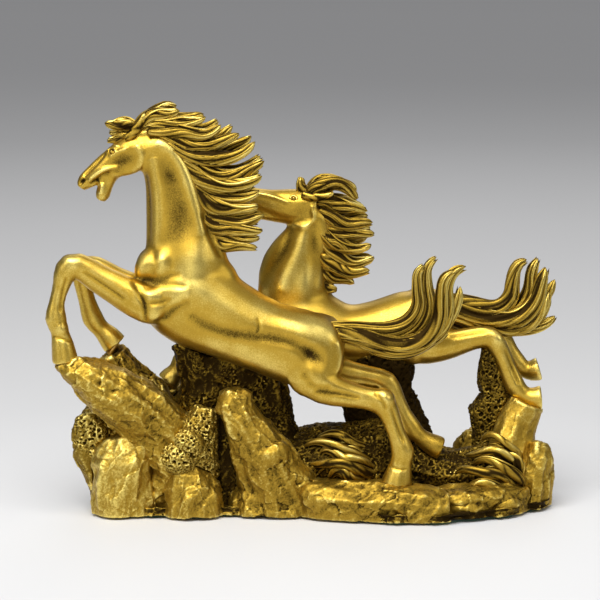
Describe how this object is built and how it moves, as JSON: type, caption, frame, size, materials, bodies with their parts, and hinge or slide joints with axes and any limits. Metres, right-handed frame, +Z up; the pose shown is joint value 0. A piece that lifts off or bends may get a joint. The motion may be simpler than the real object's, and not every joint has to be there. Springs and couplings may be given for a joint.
{
  "type": "horse statue",
  "caption": "Cast bronze desk statue of galloping horses leaping over a craggy rock base, with flowing manes and tails, brown patina in the recesses and a felt pad underneath.",
  "frame": {"origin": "middle of the bounding box in plan, on the table under the felt", "axes": "+X along the statue from the horses' heads to their tails, +Y from the lead horse to the far horse, +Z up"},
  "size_m": [0.2036, 0.074, 0.1662],
  "materials": {
    "polished_bronze": "satin polished golden bronze with soft brown patina in the hollows",
    "hair_bronze": "golden bronze rubbed bright on the strands, dark brown between them",
    "rock_bronze": "rough-cast golden bronze with bright worn edges and brown hollows",
    "porous_bronze": "pitted, honeycombed bronze, nearly black in the pits",
    "grass_bronze": "golden bronze blades, bright along the top",
    "dowel_bronze": "plain turned bronze",
    "felt": "dark green felt"
  },
  "bodies": {
    "root": {"felt_pad": "felt", "ground_slab": "rock_bronze", "left_boulder": "rock_bronze", "left_shard": "porous_bronze", "leap_spur": "rock_bronze", "leap_spur_back": "rock_bronze", "mid_boulder": "rock_bronze", "porous_patch": "porous_bronze", "belly_wall": "porous_bronze", "front_spur": "rock_bronze", "front_ledge": "rock_bronze", "right_ledge": "rock_bronze", "haunch_rock": "porous_bronze", "croup_pillar": "porous_bronze", "hoof_stump": "rock_bronze", "porous_column": "porous_bronze", "end_rock": "rock_bronze", "back_boulders": "rock_bronze", "grass_front": "grass_bronze", "grass_right": "grass_bronze", "lead_trunk": "polished_bronze", "lead_neck": "polished_bronze", "lead_head": "polished_bronze", "lead_ears": "polished_bronze", "lead_forelock": "hair_bronze", "lead_mane": "hair_bronze", "lead_tail": "hair_bronze", "lead_foreleg_near": "polished_bronze", "lead_foreleg_far": "polished_bronze", "lead_hindleg_near": "polished_bronze", "lead_hindleg_far": "polished_bronze", "far_trunk": "polished_bronze", "far_neck": "polished_bronze", "far_head": "polished_bronze", "far_ears": "polished_bronze", "far_forelock": "hair_bronze", "far_mane": "hair_bronze", "far_tail": "hair_bronze", "far_foreleg_near": "polished_bronze", "far_foreleg_far": "polished_bronze", "far_hindleg_near": "polished_bronze", "far_hindleg_far": "polished_bronze", "hoof_dowels": "dowel_bronze", "belly_dowels": "dowel_bronze"}
  },
  "joints": []
}
